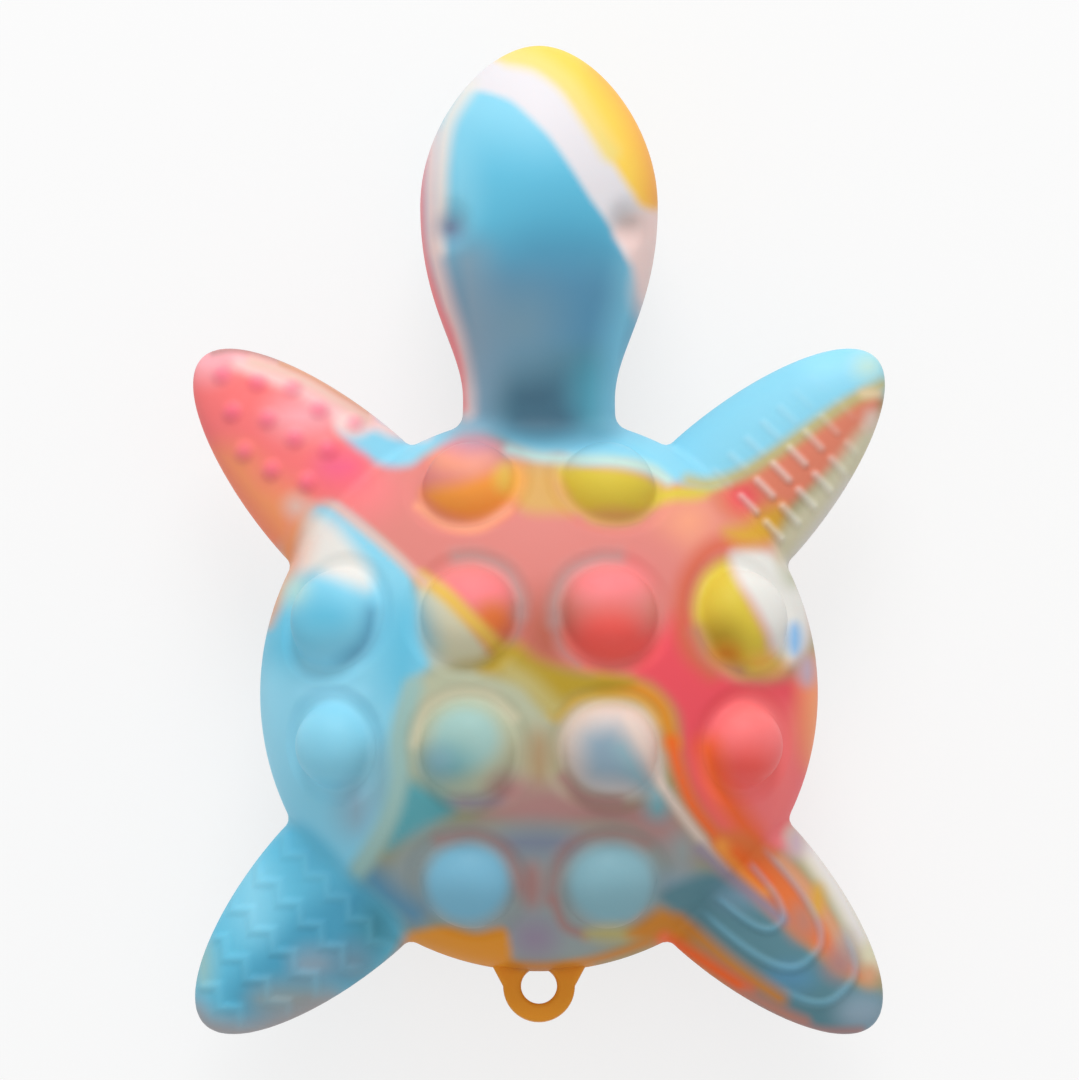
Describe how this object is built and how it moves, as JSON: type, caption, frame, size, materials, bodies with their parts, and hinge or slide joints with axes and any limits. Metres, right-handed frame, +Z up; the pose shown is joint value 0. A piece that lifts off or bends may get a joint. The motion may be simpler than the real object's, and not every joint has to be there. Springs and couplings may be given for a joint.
{
  "type": "pop fidget toy",
  "caption": "Hollow marbled silicone turtle with push bubbles over its domed back, paddle flippers and a tail loop for a key ring.",
  "frame": {"origin": "centre of the flat belly, the face the toy rests on", "axes": "+Z up through the back, +Y towards the head, +X to the toy's right flippers as seen from above"},
  "size_m": [0.0974, 0.1398, 0.0444],
  "materials": {
    "upper_silicone": "satin marbled silicone",
    "lower_silicone": "satin marbled silicone",
    "blue_silicone": "satin silicone",
    "coral_silicone": "satin silicone",
    "orange_silicone": "satin silicone",
    "yellow_silicone": "satin silicone",
    "cream_silicone": "satin silicone"
  },
  "bodies": {
    "shell": {"upper_shell": "upper_silicone", "lower_shell": "lower_silicone", "key_loop": "orange_silicone", "hinge_neck_left": "upper_silicone", "hinge_neck_right": "upper_silicone", "hinge_front_outer_left": "upper_silicone", "hinge_front_inner_left": "upper_silicone", "hinge_front_inner_right": "upper_silicone", "hinge_front_outer_right": "upper_silicone", "hinge_back_outer_left": "upper_silicone", "hinge_back_inner_left": "upper_silicone", "hinge_back_inner_right": "upper_silicone", "hinge_back_outer_right": "upper_silicone", "hinge_tail_left": "upper_silicone", "hinge_tail_right": "upper_silicone"},
    "bubble_neck_left": {"bubble_neck_left": "orange_silicone"},
    "bubble_neck_right": {"bubble_neck_right": "yellow_silicone"},
    "bubble_front_outer_left": {"bubble_front_outer_left": "blue_silicone"},
    "bubble_front_inner_left": {"bubble_front_inner_left": "coral_silicone"},
    "bubble_front_inner_right": {"bubble_front_inner_right": "coral_silicone"},
    "bubble_front_outer_right": {"bubble_front_outer_right": "yellow_silicone"},
    "bubble_back_outer_left": {"bubble_back_outer_left": "blue_silicone"},
    "bubble_back_inner_left": {"bubble_back_inner_left": "blue_silicone"},
    "bubble_back_inner_right": {"bubble_back_inner_right": "cream_silicone"},
    "bubble_back_outer_right": {"bubble_back_outer_right": "coral_silicone"},
    "bubble_tail_left": {"bubble_tail_left": "blue_silicone"},
    "bubble_tail_right": {"bubble_tail_right": "blue_silicone"}
  },
  "joints": [
    {"name": "pop_neck_left", "type": "slide", "parent": "shell", "child": "bubble_neck_left", "axis": [0.1896, -0.5356, -0.8229], "range_m": [0, 0.0108]},
    {"name": "pop_neck_right", "type": "slide", "parent": "shell", "child": "bubble_neck_right", "axis": [-0.1896, -0.5356, -0.8229], "range_m": [0, 0.0108]},
    {"name": "pop_front_outer_left", "type": "slide", "parent": "shell", "child": "bubble_front_outer_left", "axis": [0.5589, -0.172, -0.8112], "range_m": [0, 0.0108]},
    {"name": "pop_front_inner_left", "type": "slide", "parent": "shell", "child": "bubble_front_inner_left", "axis": [0.1571, -0.1363, -0.9781], "range_m": [0, 0.0108]},
    {"name": "pop_front_inner_right", "type": "slide", "parent": "shell", "child": "bubble_front_inner_right", "axis": [-0.1571, -0.1363, -0.9781], "range_m": [0, 0.0108]},
    {"name": "pop_front_outer_right", "type": "slide", "parent": "shell", "child": "bubble_front_outer_right", "axis": [-0.5589, -0.172, -0.8112], "range_m": [0, 0.0108]},
    {"name": "pop_back_outer_left", "type": "slide", "parent": "shell", "child": "bubble_back_outer_left", "axis": [0.5603, 0.1803, -0.8084], "range_m": [0, 0.0108]},
    {"name": "pop_back_inner_left", "type": "slide", "parent": "shell", "child": "bubble_back_inner_left", "axis": [0.1585, 0.1698, -0.9727], "range_m": [0, 0.0108]},
    {"name": "pop_back_inner_right", "type": "slide", "parent": "shell", "child": "bubble_back_inner_right", "axis": [-0.1585, 0.1698, -0.9727], "range_m": [0, 0.0108]},
    {"name": "pop_back_outer_right", "type": "slide", "parent": "shell", "child": "bubble_back_outer_right", "axis": [-0.5603, 0.1803, -0.8084], "range_m": [0, 0.0108]},
    {"name": "pop_tail_left", "type": "slide", "parent": "shell", "child": "bubble_tail_left", "axis": [0.1932, 0.5655, -0.8018], "range_m": [0, 0.0108]},
    {"name": "pop_tail_right", "type": "slide", "parent": "shell", "child": "bubble_tail_right", "axis": [-0.1932, 0.5655, -0.8018], "range_m": [0, 0.0108]}
  ]
}
